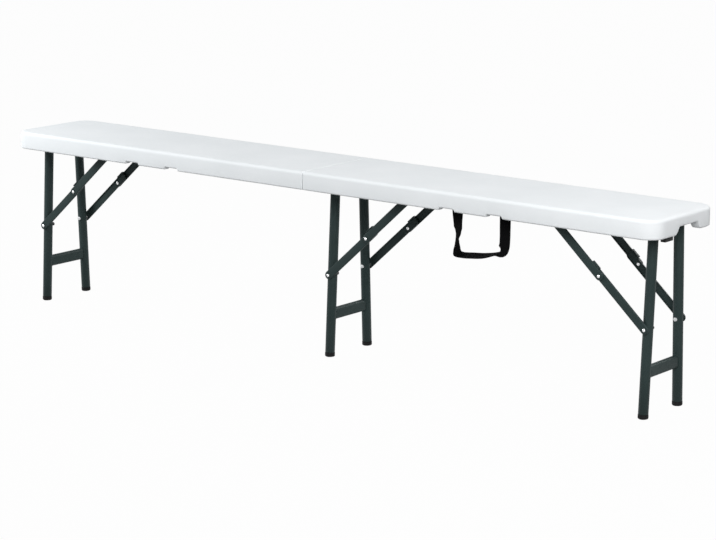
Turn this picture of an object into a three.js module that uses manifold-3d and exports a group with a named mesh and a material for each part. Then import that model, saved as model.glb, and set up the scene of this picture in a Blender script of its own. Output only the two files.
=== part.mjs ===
// Folding bench: a seat board moulded in two halves that hinge at the middle,
// carried by three splayed leg frames, each held by a folding brace at the front and the rear.
// Millimetres, +Z up. X runs along the bench and Y across it, with the front at -Y.
// The origin lies on the floor below the middle of the seat.

import * as THREE from "three";
import { mergeVertices } from "three/addons/utils/BufferGeometryUtils.js";
import Module from "manifold-3d";

// The bench as a whole.
const benchLength = 1830;
const benchWidth = 250;
const benchHeight = 430;
const seamGap = 1.2;

// Shared clearances and the distance that a cutter runs past a face.
const touchGap = 0.3;
const cutOverrun = 6;
const weldTolerance = 0.0005;

// Seat halves: hollow blow-moulded shells with a deep rim round a recess.
const rimDepth = 42;
const slabThickness = 14;
const shellSkin = 2.5;
const sideRimWidth = 20;
const endRimWidth = 22;
const seamRimWidth = 22;
const shellCornerRadius = 40;
const seamCornerRadius = 3;
const recessCornerRadius = 24;
const recessSeamRadius = 8;
const recessDraft = 2;
const topEdgeRound = 8;
const seamEdgeRound = 1.5;
const bottomEdgeRound = 3;
const topRoundSteps = 3;
const cornerSegments = 6;
const smallCornerSegments = 2;

// Vent from the recess into the hollow of the shell.
const ventRadius = 3;
const ventFromSeam = 60;
const ventFromSide = 40;

// Kiss-off dimples that tie the underside of the slab to its top.
const dimpleRows = 2;
const dimplesPerRow = 6;
const dimpleRowSpacing = 76;
const dimpleFromSeam = 120;
const dimpleFromEnd = 120;
const dimpleMouthRadius = 9;
const dimpleFloorRadius = 5;
const dimpleDepth = 8;
const dimpleSides = 6;

// Arched finger opening in the rim at each end of the bench.
const archHeight = 16.5;
const archFootWidth = 104;
const archCrownWidth = 68;
const archShift = 11;
const archSteps = 6;

// Leg frames: two round tubes, a flat-oval stretcher and a cross axle at the pivot.
const axleRoom = 4;
const endLegRoom = 25;
const legTubeRadius = 11;
const legTubeWall = 1.2;
const legFootInset = 55.6;
const legTopInset = 74.6;
const tubeSides = 16;
const axleRadius = 8;
const axleWall = 1.2;
const axleSides = 14;
const stretcherHeight = 98;
const stretcherDepth = 28;
const stretcherThickness = 14;
const stretcherWall = 1.2;

// Feet: plugs pushed into the lower ends of the leg tubes.
const footHeight = 9.5;
const footRadius = 11.4;
const footEdgeRound = 2.5;
const spigotLength = 15;

// Brace links: shallow pressed channels, the lower one inboard of the upper one.
const bracePinHeight = 190;
const braceReach = 237.3;
const linkWidth = 19;
const linkThickness = 4;
const linkWeb = 1.6;
const linkFlange = 1.6;
const linkEdgeRound = 0.8;
const linkArcSegments = 3;
const lowerLinkTail = 35;
const stopTabStart = 10;
const stopTabLength = 22;
const stopTabThickness = 2;
const stopTabGap = 0.8;

// Rivets and leg pins.
const pinRadius = 3;
const pinSlack = 0.3;
const pinSides = 8;
const collarRadius = 6;
const collarThickness = 0.9;
const collarSeatGap = 0.4;
const rivetHeadRadius = 5.2;
const rivetHeadHeight = 2.6;
const rivetHeadCrownShare = 0.55;
const innerHeadRadius = 5;
const innerHeadHeight = 1.9;
const pinTailRadius = 4.4;
const frontPinTail = 8;
const rearPinTail = 2;

// Brackets that carry the upper ends of the braces, and clips that carry the axles.
const bracketThickness = 2.5;
const bracketWidth = 24;
const bracketWallGap = 3.1;
const bracketBelowPivot = 9;
const bracketSideGap = 0.5;
const clipThickness = 2;
const clipLegGap = 9.4;
const clipWallGap = 3.1;
const clipFlange = 15;
const clipArcSegments = 4;

// Hinge under the seam: two leaves with interleaved knuckles on one pin.
const hingeLength = 160;
const hingeKnuckles = 5;
const knuckleRadius = 4;
const knuckleGap = 0.4;
const knuckleRelief = 0.7;
const knuckleSides = 10;
const leafWidth = 20;
const leafThickness = 2;
const hingePinRadius = 1.8;
const hingePinHead = 1.5;
const hingePinHeadRadius = 3;

// Carrying strap: a webbing loop under the front rim, and the notches that it leaves through.
const strapWidth = 28;
const strapThickness = 2;
const strapPitch = 124;
const strapMiddle = 463;
const strapFromFront = 38;
const strapPivotAboveRim = 1;
const strapDrop = 101;
const strapTabGap = 3;
const strapEndGap = 0.15;
const strapSteps = 44;
const notchSideRoom = 5;
const notchShift = 4;
const notchDepth = 5.5;

// Where the loop runs, as shares of the pitch across and of the drop downwards.
const strapRouteShares = [
  [0, 0], [0, 0.1], [0.004, 0.25], [0.008, 0.42], [-0.003, 0.6], [-0.018, 0.78], [-0.022, 0.9],
  [0, 0.98], [0.06, 1], [0.18, 0.985], [0.34, 0.965], [0.5, 0.945], [0.65, 0.912], [0.78, 0.868],
  [0.885, 0.82], [0.957, 0.755], [0.99, 0.66], [1, 0.5], [1, 0.25], [1, 0],
];

// How the webbing lies on its way: a share of the route and the turn there, in degrees.
// It is flat to the rim at -90 and 90 and has its edge forwards at 0.
const strapTurnShares = [
  [0, -90], [0.13, -74], [0.165, -60], [0.21, -40], [0.25, -22], [0.3, -4], [0.345, 12],
  [0.45, 16], [0.56, 15], [0.7, 8], [0.735, 42], [0.78, 86], [1, 90],
];

// Closing catch under the right end rim, and its pocket in the left one.
const catchLength = 32;
const catchWidth = 12;
const catchThickness = 9;
const catchFromSide = 52;
const catchFromEnd = 6;
const catchPocketGap = 1.5;

// Sizes that follow from the ones above.
const quarterTurn = Math.PI / 2;
const halfLength = benchLength / 2;
const halfWidth = benchWidth / 2;
const seamFace = seamGap / 2;
const rimBottom = benchHeight - rimDepth;
const ceiling = benchHeight - slabThickness;
const fittingTop = ceiling - touchGap;
const recessHalfWidth = halfWidth - sideRimWidth - recessDraft;
const pivotHeight = ceiling - axleRoom - axleRadius;
const legFootSpread = benchWidth - 2 * legFootInset;
const legTopSpread = benchWidth - 2 * legTopInset;
const clipInner = axleRadius + touchGap;
const clipOuter = clipInner + clipThickness;
const clipLength = legTopSpread - 2 * (legTubeRadius + clipLegGap);
const middleLegX = seamFace + seamRimWidth + recessDraft + clipWallGap + clipOuter;
const endLegX = halfLength - endRimWidth - endLegRoom;
const pinHoleRadius = pinRadius + pinSlack;
const hingePinBore = hingePinRadius + pinSlack;
const legLean = (legFootSpread - legTopSpread) / 2 / pivotHeight;
const legTilt = Math.atan(legLean);
const legAxisLength = pivotHeight / Math.cos(legTilt);
const braceDrop = pivotHeight - bracePinHeight;
const braceLength = Math.hypot(braceDrop, braceReach);
const braceAngle = Math.atan2(braceDrop, braceReach);
const lowerLinkLength = (braceLength - (braceReach - braceDrop)) / 2;
const upperLinkLength = braceLength - lowerLinkLength;
const linkHalfWidth = linkWidth / 2;
const pinLegCentre = legFootSpread / 2 - bracePinHeight * legLean;
const pinLegHalf = legTubeRadius / Math.cos(legTilt);
const lowerLinkInner = pinLegCentre + pinLegHalf + collarSeatGap + collarThickness + touchGap;
const lowerLinkOuter = lowerLinkInner + linkThickness;
const upperLinkInner = lowerLinkOuter + touchGap;
const upperLinkOuter = upperLinkInner + linkThickness;
const strapY = -(halfWidth - strapFromFront);
const strapTabEnd = strapTabGap - recessHalfWidth;
const strapPivotZ = rimBottom + strapPivotAboveRim;
const strapStartX = strapMiddle - strapPitch / 2;
const catchOuterX = halfLength - catchFromEnd;
const catchFrontY = -halfWidth + catchFromSide;

const wasm = await Module();
wasm.setup();

// Closed geometry to a solid that can be joined and cut.
function solidOf(geometry) {
  const bare = geometry.clone();
  bare.deleteAttribute("normal");
  bare.deleteAttribute("uv");
  const welded = mergeVertices(bare, weldTolerance);
  return new wasm.Manifold(new wasm.Mesh({
    numProp: 3,
    vertProperties: welded.attributes.position.array,
    triVerts: new Uint32Array(welded.index.array),
  }));
}

// A solid back to geometry with flat faces.
function geometryOf(solid) {
  const { vertProperties, triVerts } = solid.getMesh();
  const geometry = new THREE.BufferGeometry();
  geometry.setAttribute("position", new THREE.BufferAttribute(vertProperties, 3));
  geometry.setIndex(new THREE.BufferAttribute(triVerts, 1));
  const flat = geometry.toNonIndexed();
  flat.computeVertexNormals();
  return flat;
}

function joined(...solids) {
  return solids.reduce((whole, piece) => whole.add(piece));
}

function cut(solid, ...cutters) {
  return cutters.reduce((left, cutter) => left.subtract(cutter), solid);
}

// Box between two corners.
function box([x0, y0, z0], [x1, y1, z1]) {
  return new THREE.BoxGeometry(x1 - x0, y1 - y0, z1 - z0)
    .translate((x0 + x1) / 2, (y0 + y1) / 2, (z0 + z1) / 2);
}

// Outline in X and Z, given thickness along Y between two places.
function plateXZ(shape, yA, yB, curveSegments, edgeRound = 0) {
  const depth = Math.abs(yB - yA);
  const geometry = new THREE.ExtrudeGeometry(shape, {
    depth: depth - 2 * edgeRound,
    curveSegments,
    bevelEnabled: edgeRound > 0,
    bevelThickness: edgeRound,
    bevelSize: edgeRound,
    bevelOffset: -edgeRound,
    bevelSegments: 1,
  });
  return geometry.rotateX(quarterTurn).translate(0, Math.max(yA, yB) - edgeRound, 0);
}

// Outline in Y and Z, given thickness along X between two places.
function plateYZ(shape, xA, xB) {
  const geometry = new THREE.ExtrudeGeometry(shape, { depth: xB - xA, bevelEnabled: false });
  return geometry.rotateX(quarterTurn).rotateZ(quarterTurn).translate(xA, 0, 0);
}

// Turned piece: profile points are [radius, place along the axis], lowest place first.
function turned(profile, sides) {
  return new THREE.LatheGeometry(profile.map(([r, h]) => new THREE.Vector2(r, h)), sides)
    .rotateX(quarterTurn);
}

// The same, with its axis along Y instead of Z; sign -1 turns it to face the front.
function turnedAlongY(profile, sides, sign) {
  return turned(profile, sides).rotateX(-sign * quarterTurn);
}

// Round tube or bar on the Z axis.
function tubeProfile(outer, inner, low, high) {
  return [[inner, low], [outer, low], [outer, high], [inner, high], [inner, low]];
}

function barProfile(radius, low, high) {
  return [[0, low], [radius, low], [radius, high], [0, high]];
}

function polygon(points) {
  return new THREE.Shape(points.map(([u, v]) => new THREE.Vector2(u, v)));
}

// Slot outline with round ends, from one centre to another on the first axis.
function slotShape(from, to, radius) {
  const shape = new THREE.Shape();
  shape.absarc(to, 0, radius, -quarterTurn, quarterTurn, false);
  shape.absarc(from, 0, radius, quarterTurn, 3 * quarterTurn, false);
  shape.closePath();
  return shape;
}

// Closed skin over rings of points that all have the same count, capped at both ends.
function skinned(rings) {
  const count = rings[0].length;
  const corners = rings.flat();
  const faces = [];
  for (let ring = 0; ring < rings.length - 1; ring++) {
    for (let i = 0; i < count; i++) {
      const a = ring * count + i;
      const b = ring * count + (i + 1) % count;
      faces.push(a, b, b + count, a, b + count, a + count);
    }
  }
  const last = (rings.length - 1) * count;
  for (let i = 1; i < count - 1; i++) {
    faces.push(0, i + 1, i);
    faces.push(last, last + i, last + i + 1);
  }
  const geometry = new THREE.BufferGeometry().setFromPoints(corners);
  geometry.setIndex(faces);
  return geometry;
}

// Rectangle with its own radius at the seam corners and at the outer corners.
function footprint({ seamX, endX, halfY, seamRadius, endRadius, z }) {
  const corners = [
    [seamX + seamRadius, -halfY + seamRadius, seamRadius, 2, smallCornerSegments],
    [endX - endRadius, -halfY + endRadius, endRadius, 3, cornerSegments],
    [endX - endRadius, halfY - endRadius, endRadius, 0, cornerSegments],
    [seamX + seamRadius, halfY - seamRadius, seamRadius, 1, smallCornerSegments],
  ];
  return corners.flatMap(([x, y, radius, quarter, segments]) =>
    Array.from({ length: segments + 1 }, (unused, i) => {
      const angle = (quarter + i / segments) * quarterTurn;
      return new THREE.Vector3(x + radius * Math.cos(angle), y + radius * Math.sin(angle), z);
    }));
}

// Outer form of a seat half, or its hollow when grown inwards by a skin.
function shellForm(skin) {
  const ring = (z, inset, seamInset) => footprint({
    seamX: seamFace + skin + seamInset,
    endX: halfLength - skin - inset,
    halfY: halfWidth - skin - inset,
    seamRadius: seamCornerRadius,
    endRadius: shellCornerRadius - skin - inset,
    z,
  });
  const low = rimBottom + skin;
  const high = benchHeight - skin;
  const rings = [ring(low, bottomEdgeRound, 0), ring(low + bottomEdgeRound, 0, 0)];
  for (let i = 0; i <= topRoundSteps; i++) {
    const angle = (i / topRoundSteps) * quarterTurn;
    const rise = Math.sin(angle);
    const inset = 1 - Math.cos(angle);
    rings.push(ring(high - topEdgeRound * (1 - rise), topEdgeRound * inset, seamEdgeRound * inset));
  }
  return solidOf(skinned(rings));
}

// Recess under the slab, grown by a skin where the hollow has to stay clear of it.
function recessForm(skin) {
  const ring = (z, inset) => footprint({
    seamX: seamFace + seamRimWidth - skin + inset,
    endX: halfLength - endRimWidth + skin - inset,
    halfY: halfWidth - sideRimWidth + skin - inset,
    seamRadius: recessSeamRadius + skin,
    endRadius: recessCornerRadius + skin - inset,
    z,
  });
  return solidOf(skinned([ring(rimBottom - cutOverrun, 0), ring(ceiling + skin, recessDraft)]));
}

// Arched opening through the end rim, with S-shaped sides.
function archForm(skin) {
  const side = (sign) => Array.from({ length: archSteps + 1 }, (unused, i) => {
    const share = i / archSteps;
    const half = THREE.MathUtils.lerp(archFootWidth, archCrownWidth, share) / 2 + skin;
    const rise = (archHeight + skin) * (1 - Math.cos(share * Math.PI)) / 2;
    return [sign * half, rimBottom + rise];
  });
  const outline = [
    [-archFootWidth / 2 - skin, rimBottom - cutOverrun],
    [archFootWidth / 2 + skin, rimBottom - cutOverrun],
    ...side(1),
    ...side(-1).reverse(),
  ];
  const inner = halfLength - endRimWidth - cutOverrun;
  return solidOf(plateYZ(polygon(outline), inner, halfLength + cutOverrun)
    .translate(0, archShift, 0));
}

// Notches in the front rim that let the strap out when the halves are shut.
function notchForm(place, skin) {
  const middle = strapMiddle + place * strapPitch / 2 - notchShift;
  const half = strapWidth / 2 + notchSideRoom + skin;
  return solidOf(box(
    [middle - half, -halfWidth - cutOverrun, rimBottom - cutOverrun],
    [middle + half, -halfWidth + sideRimWidth + cutOverrun, rimBottom + notchDepth + skin],
  ));
}

// Room in the seam rim for the hinge leaf and its knuckles.
function hingeForm(skin) {
  const half = hingeLength / 2 + touchGap + hingePinHead + knuckleRelief + skin;
  const knuckles = turnedAlongY(
    barProfile(knuckleRadius + knuckleRelief + skin, -half, half), knuckleSides, 1,
  ).translate(0, 0, rimBottom);
  const leaf = box(
    [-seamFace, -half, rimBottom - cutOverrun],
    [leafWidth + knuckleRelief + skin, half, rimBottom + leafThickness + 2 * touchGap + skin],
  );
  return joined(solidOf(knuckles), solidOf(leaf));
}

// Catch under the right end rim.
function closingCatch() {
  return solidOf(box(
    [catchOuterX - catchWidth, catchFrontY, rimBottom - catchThickness - touchGap],
    [catchOuterX, catchFrontY + catchLength, rimBottom - touchGap],
  ));
}

// Pocket in the left half's rim that the catch goes into when the halves are shut.
function catchPocketForm(skin) {
  const grow = catchPocketGap + skin;
  return solidOf(box(
    [catchOuterX - catchWidth - grow, catchFrontY - grow, rimBottom - cutOverrun],
    [catchOuterX + grow, catchFrontY + catchLength + grow, rimBottom + catchThickness + touchGap + grow],
  ));
}

// Dimple places: a grid along the half, in rows either side of the middle.
function dimplePlaces() {
  const run = halfLength - dimpleFromSeam - dimpleFromEnd;
  const places = [];
  for (let row = 0; row < dimpleRows; row++) {
    for (let i = 0; i < dimplesPerRow; i++) {
      places.push([
        dimpleFromSeam + (run * i) / (dimplesPerRow - 1),
        (row - (dimpleRows - 1) / 2) * dimpleRowSpacing,
      ]);
    }
  }
  return places;
}

function dimpleForm([x, y], skin, height) {
  const profile = [
    [0, ceiling - cutOverrun],
    [dimpleMouthRadius + skin, ceiling - cutOverrun],
    [dimpleMouthRadius + skin, ceiling],
    [dimpleFloorRadius + skin, ceiling + height],
    [0, ceiling + height],
  ];
  return solidOf(turned(profile, dimpleSides).translate(x, y, 0));
}

// One seat half on the +X side. The left half is the same form mirrored, with the catch's pocket.
function seatHalf(hasCatchPocket) {
  const features = (skin) => [
    recessForm(skin),
    archForm(skin),
    notchForm(-1, skin),
    notchForm(1, skin),
    hingeForm(skin),
    ...(hasCatchPocket ? [catchPocketForm(skin)] : []),
  ];
  const places = dimplePlaces();
  const hollow = cut(
    shellForm(shellSkin),
    ...features(shellSkin),
    ...places.map((place) => dimpleForm(place, shellSkin, slabThickness)),
  );
  const ventX = ventFromSeam;
  const ventY = -halfWidth + ventFromSide;
  const vent = turned(barProfile(ventRadius, ceiling - cutOverrun, ceiling + cutOverrun), dimpleSides)
    .translate(ventX, ventY, 0);
  return cut(
    shellForm(0),
    ...features(0),
    ...places.map((place) => dimpleForm(place, 0, dimpleDepth)),
    hollow,
    solidOf(vent),
  );
}

// A solid on a leg's leaning centre line, in the frame of its set: pivot at the origin.
function onLegAxis(geometry, sign) {
  return geometry
    .rotateX(sign * legTilt)
    .translate(0, sign * legFootSpread / 2, -pivotHeight);
}

function legTube(sign) {
  const tube = onLegAxis(turned(tubeProfile(
    legTubeRadius, legTubeRadius - legTubeWall, footHeight + touchGap, legAxisLength,
  ), tubeSides), sign);
  const half = legFootSpread;
  const mouth = turnedAlongY(barProfile(axleRadius + touchGap, -half, half), axleSides, 1);
  const pinHole = turnedAlongY(barProfile(pinHoleRadius, -half, half), pinSides, 1)
    .translate(0, 0, -braceDrop);
  return cut(solidOf(tube), solidOf(mouth), solidOf(pinHole));
}

function legFoot(sign) {
  const spigot = legTubeRadius - legTubeWall - touchGap;
  const plug = onLegAxis(turned([
    [0, -cutOverrun],
    [footRadius - footEdgeRound, -cutOverrun],
    [footRadius - footEdgeRound, 0],
    [footRadius, footEdgeRound],
    [footRadius, footHeight],
    [spigot, footHeight],
    [spigot, footHeight + spigotLength],
    [0, footHeight + spigotLength],
  ], tubeSides), sign);
  const belowFloor = box(
    [-legFootSpread, -legFootSpread, -pivotHeight - benchHeight],
    [legFootSpread, legFootSpread, -pivotHeight],
  );
  return cut(solidOf(plug), solidOf(belowFloor));
}

// Flat-oval stretcher with its ends cut to the legs.
function stretcher() {
  const rise = stretcherHeight - pivotHeight;
  const flat = (stretcherDepth - stretcherThickness) / 2;
  const half = legFootSpread / 2 - stretcherHeight * legLean - legTubeRadius / 2;
  const oval = (radius, reach) => plateXZ(
    slotShape(-flat, flat, radius), -reach, reach, linkArcSegments,
  ).rotateY(quarterTurn).translate(0, 0, rise);
  const outer = solidOf(oval(stretcherThickness / 2, half));
  const inner = solidOf(oval(stretcherThickness / 2 - stretcherWall, half + cutOverrun));
  const legRoom = [-1, 1].map((sign) => solidOf(onLegAxis(turned(
    barProfile(legTubeRadius + touchGap, 0, legAxisLength), tubeSides,
  ), sign)));
  return cut(outer, inner, ...legRoom);
}

function axle() {
  const half = legTopSpread / 2 + legTubeRadius;
  return solidOf(turnedAlongY(
    tubeProfile(axleRadius, axleRadius - axleWall, -half, half), axleSides, 1,
  ));
}

// Pin through a leg tube: tail inside, a knob at the front and a flat head at the rear, and
// outside a collar that the lower link turns against.
function legPin(sign) {
  const tail = sign < 0 ? frontPinTail : rearPinTail;
  const inner = pinLegCentre - pinLegHalf - collarSeatGap;
  const outer = pinLegCentre + pinLegHalf + collarSeatGap;
  return solidOf(turnedAlongY([
    [0, inner - tail],
    [pinTailRadius, inner - tail],
    [pinTailRadius, inner],
    [pinRadius, inner],
    [pinRadius, outer],
    [collarRadius, outer],
    [collarRadius, outer + collarThickness],
    [0, outer + collarThickness],
  ], pinSides, sign));
}

// Low domed rivet head, from its seat outwards.
function headProfile(seat) {
  return [
    [rivetHeadRadius, seat],
    [rivetHeadRadius, seat + rivetHeadHeight * (1 - rivetHeadCrownShare)],
    [rivetHeadRadius * rivetHeadCrownShare, seat + rivetHeadHeight],
    [0, seat + rivetHeadHeight],
  ];
}

// Shallow channel with its web outboard, along X between its end centres.
function channel(from, to, inner, sign) {
  const outline = slotShape(from, to, linkHalfWidth);
  const body = plateXZ(outline, sign * inner, sign * (inner + linkThickness), linkArcSegments,
    linkEdgeRound);
  const pocket = plateXZ(
    slotShape(from, to, linkHalfWidth - linkFlange),
    sign * (inner - cutOverrun), sign * (inner + linkThickness - linkWeb), linkArcSegments,
  );
  return cut(solidOf(body), solidOf(pocket));
}

function linkHole(at, inner, sign) {
  return solidOf(turnedAlongY(barProfile(
    pinHoleRadius, inner - cutOverrun, inner + linkThickness + cutOverrun,
  ), pinSides, sign).translate(at, 0, 0));
}

// Lower link, from the leg pin to past the middle rivet, with its half of the leg rivet
// and the tab that stops the brace in line.
function lowerLink(sign) {
  const end = lowerLinkLength + lowerLinkTail - linkHalfWidth;
  const inner = lowerLinkInner;
  const boss = turnedAlongY(
    [[0, inner], [innerHeadRadius, inner], [innerHeadRadius, lowerLinkOuter],
      ...headProfile(lowerLinkOuter)], pinSides, sign);
  const tabStart = lowerLinkLength + stopTabStart;
  const tabLow = linkHalfWidth + stopTabGap;
  const ys = (near, far) => [Math.min(sign * near, sign * far), Math.max(sign * near, sign * far)];
  const tabPiece = (near, far, low) => {
    const [yLow, yHigh] = ys(near, far);
    return solidOf(box(
      [tabStart, yLow, low], [tabStart + stopTabLength, yHigh, tabLow + stopTabThickness],
    ));
  };
  const tabRoot = tabPiece(inner + linkEdgeRound, lowerLinkOuter - linkEdgeRound,
    linkHalfWidth - linkFlange);
  const tab = tabPiece(inner + linkEdgeRound, upperLinkOuter, tabLow);
  const body = cut(channel(0, end, inner, sign), linkHole(lowerLinkLength, inner, sign));
  return joined(body, solidOf(boss), tabRoot, tab);
}

// Upper link, from the bracket's stub to the middle rivet.
function upperLink(sign) {
  return cut(
    channel(0, upperLinkLength, upperLinkInner, sign),
    linkHole(0, upperLinkInner, sign),
    linkHole(upperLinkLength, upperLinkInner, sign),
  );
}

// Rivet that joins the two links, with its inner head down in the lower link's channel.
function middleRivet(sign) {
  const innerHead = lowerLinkOuter - linkWeb - touchGap;
  return solidOf(turnedAlongY([
    [0, innerHead - innerHeadHeight],
    [innerHeadRadius, innerHead - innerHeadHeight],
    [innerHeadRadius, innerHead],
    [pinRadius, innerHead],
    [pinRadius, upperLinkOuter + touchGap],
    ...headProfile(upperLinkOuter + touchGap),
  ], pinSides, sign));
}

// Angle bracket under the slab, with the stub that the upper link turns on.
function braceBracket(sign) {
  const plateInner = upperLinkOuter + bracketSideGap;
  const plateOuter = plateInner + bracketThickness;
  const top = fittingTop - pivotHeight;
  const half = bracketWidth / 2;
  const outline = new THREE.Shape();
  outline.moveTo(half, top);
  outline.lineTo(-half, top);
  outline.lineTo(-half, 0);
  outline.absarc(0, 0, bracketBelowPivot, Math.PI, 2 * Math.PI, false);
  outline.lineTo(half, 0);
  outline.closePath();
  const plate = plateXZ(outline, sign * plateInner, sign * plateOuter, linkArcSegments);
  const flangeEdge = sign * (recessHalfWidth - bracketWallGap);
  const flange = box(
    [-half, Math.min(sign * plateInner, flangeEdge), top - bracketThickness],
    [half, Math.max(sign * plateInner, flangeEdge), top],
  );
  const headSeat = upperLinkOuter - linkWeb - touchGap;
  const stub = turnedAlongY([
    [0, headSeat - innerHeadHeight],
    [innerHeadRadius, headSeat - innerHeadHeight],
    [innerHeadRadius, headSeat],
    [pinRadius, headSeat],
    [pinRadius, plateOuter - bracketThickness / 2],
    [0, plateOuter - bracketThickness / 2],
  ], pinSides, sign);
  return joined(solidOf(plate), solidOf(flange), solidOf(stub));
}

// Saddle clip that holds the axle up to the slab, screwed down on its braced side.
function axleClip() {
  const top = fittingTop - pivotHeight;
  const outline = new THREE.Shape();
  outline.moveTo(-clipInner, top);
  outline.lineTo(-clipOuter, top);
  outline.absarc(0, 0, clipOuter, Math.PI, 2 * Math.PI, false);
  outline.lineTo(clipOuter, top - clipThickness);
  outline.lineTo(clipOuter + clipFlange, top - clipThickness);
  outline.lineTo(clipOuter + clipFlange, top);
  outline.lineTo(clipInner, top);
  outline.absarc(0, 0, clipInner, 2 * Math.PI, Math.PI, true);
  outline.closePath();
  return solidOf(plateXZ(outline, -clipLength / 2, clipLength / 2, clipArcSegments));
}

// Hinge leaf on the +X side; the first leaf has the outer knuckles.
function hingeLeaf(hasOuterKnuckles) {
  const half = hingeLength / 2;
  const pitch = hingeLength / hingeKnuckles;
  const leaf = box(
    [seamFace, -half, rimBottom + touchGap],
    [leafWidth, half, rimBottom + touchGap + leafThickness],
  );
  const bar = (radius, low, high) => solidOf(
    turnedAlongY(barProfile(radius, low, high), knuckleSides, 1).translate(0, 0, rimBottom),
  );
  const slack = knuckleGap / 2;
  let solid = solidOf(leaf);
  for (let i = 0; i < hingeKnuckles; i++) {
    const own = (i % 2 === 0) === hasOuterKnuckles;
    const low = -half + i * pitch;
    const high = low + pitch;
    solid = own
      ? solid.add(bar(knuckleRadius, low + slack, high - slack))
      : solid.subtract(bar(knuckleRadius + knuckleGap, low - slack, high + slack));
  }
  return cut(solid, bar(hingePinBore, -half - cutOverrun, half + cutOverrun));
}

function hingePin() {
  const half = hingeLength / 2 + touchGap;
  return solidOf(turnedAlongY([
    [0, -half - hingePinHead],
    [hingePinHeadRadius, -half - hingePinHead],
    [hingePinHeadRadius, -half],
    [hingePinRadius, -half],
    [hingePinRadius, half],
    [hingePinHeadRadius, half],
    [hingePinHeadRadius, half + hingePinHead],
    [0, half + hingePinHead],
  ], knuckleSides, 1).translate(0, 0, rimBottom));
}

// Turn of the webbing about its route, at a share of its length.
function strapTwist(share) {
  const next = strapTurnShares.findIndex(([place], i) => i > 0 && share <= place);
  const [start, before] = strapTurnShares[next - 1];
  const [end, after] = strapTurnShares[next];
  const eased = THREE.MathUtils.smoothstep(share, start, end);
  return THREE.MathUtils.degToRad(THREE.MathUtils.lerp(before, after, eased));
}

// Loop of webbing below the strap's pivot line.
function strapLoop() {
  const route = new THREE.CatmullRomCurve3(strapRouteShares.map(([across, down]) =>
    new THREE.Vector3(
      strapStartX + across * strapPitch,
      strapY + strapThickness / 2,
      strapPivotZ - strapEndGap - down * strapDrop,
    )));
  const forwards = new THREE.Vector3(0, -1, 0);
  const rings = [];
  for (let i = 0; i <= strapSteps; i++) {
    const share = i / strapSteps;
    const centre = route.getPointAt(share);
    const along = route.getTangentAt(share);
    const outwards = new THREE.Vector3().crossVectors(along, forwards);
    const turn = strapTwist(share);
    const wide = outwards.clone().multiplyScalar(Math.sin(turn))
      .addScaledVector(forwards, Math.cos(turn));
    const thick = new THREE.Vector3().crossVectors(along, wide);
    const corner = (a, b) => centre.clone()
      .addScaledVector(wide, a * strapWidth / 2)
      .addScaledVector(thick, b * strapThickness / 2);
    rings.push([corner(-1, -1), corner(1, -1), corner(1, 1), corner(-1, 1)]);
  }
  return solidOf(skinned(rings));
}

// Fixed end of the webbing: up from the pivot line and folded forwards under the slab.
function strapEnd(place) {
  const x = strapMiddle + place * strapPitch / 2 - strapWidth / 2;
  const outline = [
    [strapY, strapPivotZ + strapEndGap],
    [strapY + strapThickness, strapPivotZ + strapEndGap],
    [strapY + strapThickness, fittingTop],
    [strapTabEnd, fittingTop],
    [strapTabEnd, fittingTop - strapThickness],
    [strapY, fittingTop - strapThickness],
  ];
  return solidOf(plateYZ(polygon(outline), x, x + strapWidth));
}

// Finishes.
const whitePlastic = new THREE.MeshStandardMaterial({ color: 0xe8ecef, roughness: 0.5 });
const frameCoat = new THREE.MeshStandardMaterial({ color: 0x3b4442, roughness: 0.45, metalness: 0.3 });
const zincSteel = new THREE.MeshStandardMaterial({ color: 0xc2c5c8, roughness: 0.3, metalness: 0.9 });
const blackPlastic = new THREE.MeshStandardMaterial({ color: 0x16181a, roughness: 0.7 });
const blackWebbing = new THREE.MeshStandardMaterial({ color: 0x121315, roughness: 0.9 });

const bench = new THREE.Group();

function place(parent, name, solid, material) {
  const mesh = new THREE.Mesh(geometryOf(solid), material);
  mesh.name = name;
  parent.add(mesh);
  return mesh;
}

// Leg frame, braces and fittings of one set, folding towards its own +X.
function legSet(name, x, facing) {
  const set = new THREE.Group();
  set.position.set(x, 0, pivotHeight);
  set.rotation.z = facing > 0 ? 0 : Math.PI;
  const middleX = lowerLinkLength * Math.cos(braceAngle);
  const middleZ = lowerLinkLength * Math.sin(braceAngle) - braceDrop;
  for (const [side, sign] of [["front", -facing], ["rear", facing]]) {
    place(set, `${name}_leg_${side}`, legTube(sign), frameCoat);
    place(set, `${name}_foot_${side}`, legFoot(sign), blackPlastic);
    place(set, `${name}_leg_pin_${side}`, legPin(sign), zincSteel).position.z = -braceDrop;
    const lower = place(set, `${name}_lower_link_${side}`, lowerLink(sign), frameCoat);
    lower.position.z = -braceDrop;
    lower.rotation.y = -braceAngle;
    const upper = place(set, `${name}_upper_link_${side}`, upperLink(sign), frameCoat);
    upper.position.x = braceReach;
    upper.rotation.y = Math.PI - braceAngle;
    const rivet = place(set, `${name}_brace_rivet_${side}`, middleRivet(sign), zincSteel);
    rivet.position.set(middleX, 0, middleZ);
    place(set, `${name}_brace_bracket_${side}`, braceBracket(sign), frameCoat).position.x = braceReach;
  }
  place(set, `${name}_stretcher`, stretcher(), frameCoat);
  place(set, `${name}_axle`, axle(), frameCoat);
  place(set, `${name}_axle_clip`, axleClip(), zincSteel);
  bench.add(set);
}

place(bench, "seat_half_right", seatHalf(false), whitePlastic);
place(bench, "seat_half_left", seatHalf(true), whitePlastic).scale.x = -1;

place(bench, "hinge_leaf_right", hingeLeaf(false), zincSteel);
place(bench, "hinge_leaf_left", hingeLeaf(true), zincSteel).scale.x = -1;
place(bench, "hinge_pin", hingePin(), zincSteel);

legSet("left", -endLegX, 1);
legSet("middle", middleLegX, 1);
legSet("right", endLegX, -1);

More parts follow.
